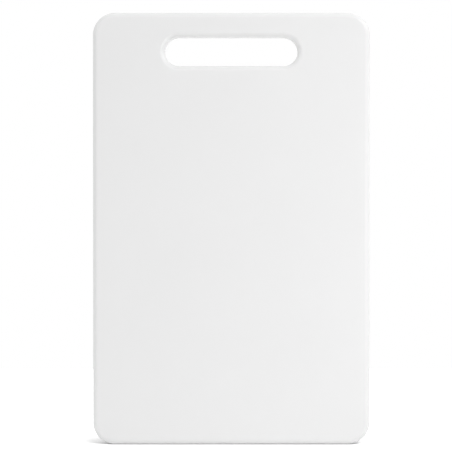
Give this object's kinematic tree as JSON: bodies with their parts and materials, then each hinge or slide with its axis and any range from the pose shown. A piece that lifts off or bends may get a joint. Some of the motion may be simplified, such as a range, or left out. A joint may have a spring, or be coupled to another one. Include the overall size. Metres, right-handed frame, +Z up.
{
  "type": "cutting board",
  "caption": "Rectangular white plastic cutting board with rounded corners, rounded rims and a long hand slot near its top end.",
  "frame": {"origin": "middle of the bottom edge, which is the short end that the board stands on in the picture, at half its thickness", "axes": "+Z up along the board's length, towards the end with the hand slot; +X across its width, to the right as seen from the front; the front face looks towards -Y and the back face towards +Y"},
  "size_m": [0.25, 0.02, 0.39],
  "materials": {
    "polyethylene": "satin"
  },
  "bodies": {
    "root": {"board": "polyethylene"}
  },
  "joints": []
}
